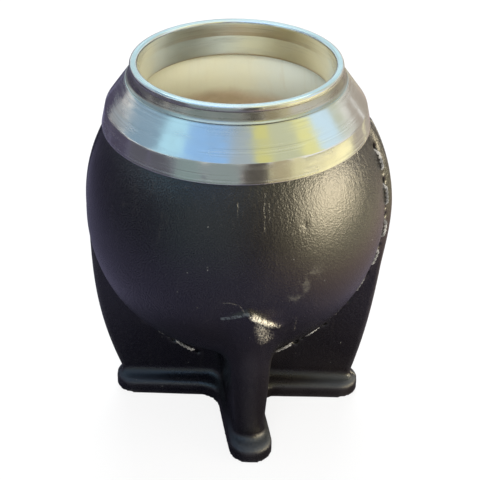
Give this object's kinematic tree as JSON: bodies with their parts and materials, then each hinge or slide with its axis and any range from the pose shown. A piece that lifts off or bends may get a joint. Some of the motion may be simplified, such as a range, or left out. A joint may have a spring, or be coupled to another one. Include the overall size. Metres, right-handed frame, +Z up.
{
  "type": "mate gourd cup",
  "caption": "Round calabash gourd cup in a sewn black leather cover with flat side wings and legs that stand on a cross-shaped foot, with a conical nickel-silver ferrule on its open mouth.",
  "frame": {"origin": "on the table, under the gourd's axis, at the middle of the cross-shaped foot", "axes": "+Z up along the gourd's axis; the wings run along X; the front leg points towards -Y"},
  "size_m": [0.0885, 0.0856, 0.113],
  "materials": {
    "nickel_silver": "turned and polished",
    "set_glue": "set resin",
    "gourd_shell": "raw dried shell",
    "black_leather": "waxed, lightly scuffed",
    "waxed_thread": "waxed",
    "plywood": "raw",
    "sole_leather": "matt"
  },
  "bodies": {
    "root": {"ferrule_rim": "nickel_silver", "ferrule_skirt": "nickel_silver", "ferrule_sleeve": "nickel_silver", "ferrule_bedding": "set_glue", "gourd_shell": "gourd_shell", "front_cover": "black_leather", "back_cover": "black_leather", "left_seam_thread": "waxed_thread", "right_seam_thread": "waxed_thread", "keel_core": "plywood", "base_board": "plywood", "sole": "sole_leather"}
  },
  "joints": []
}
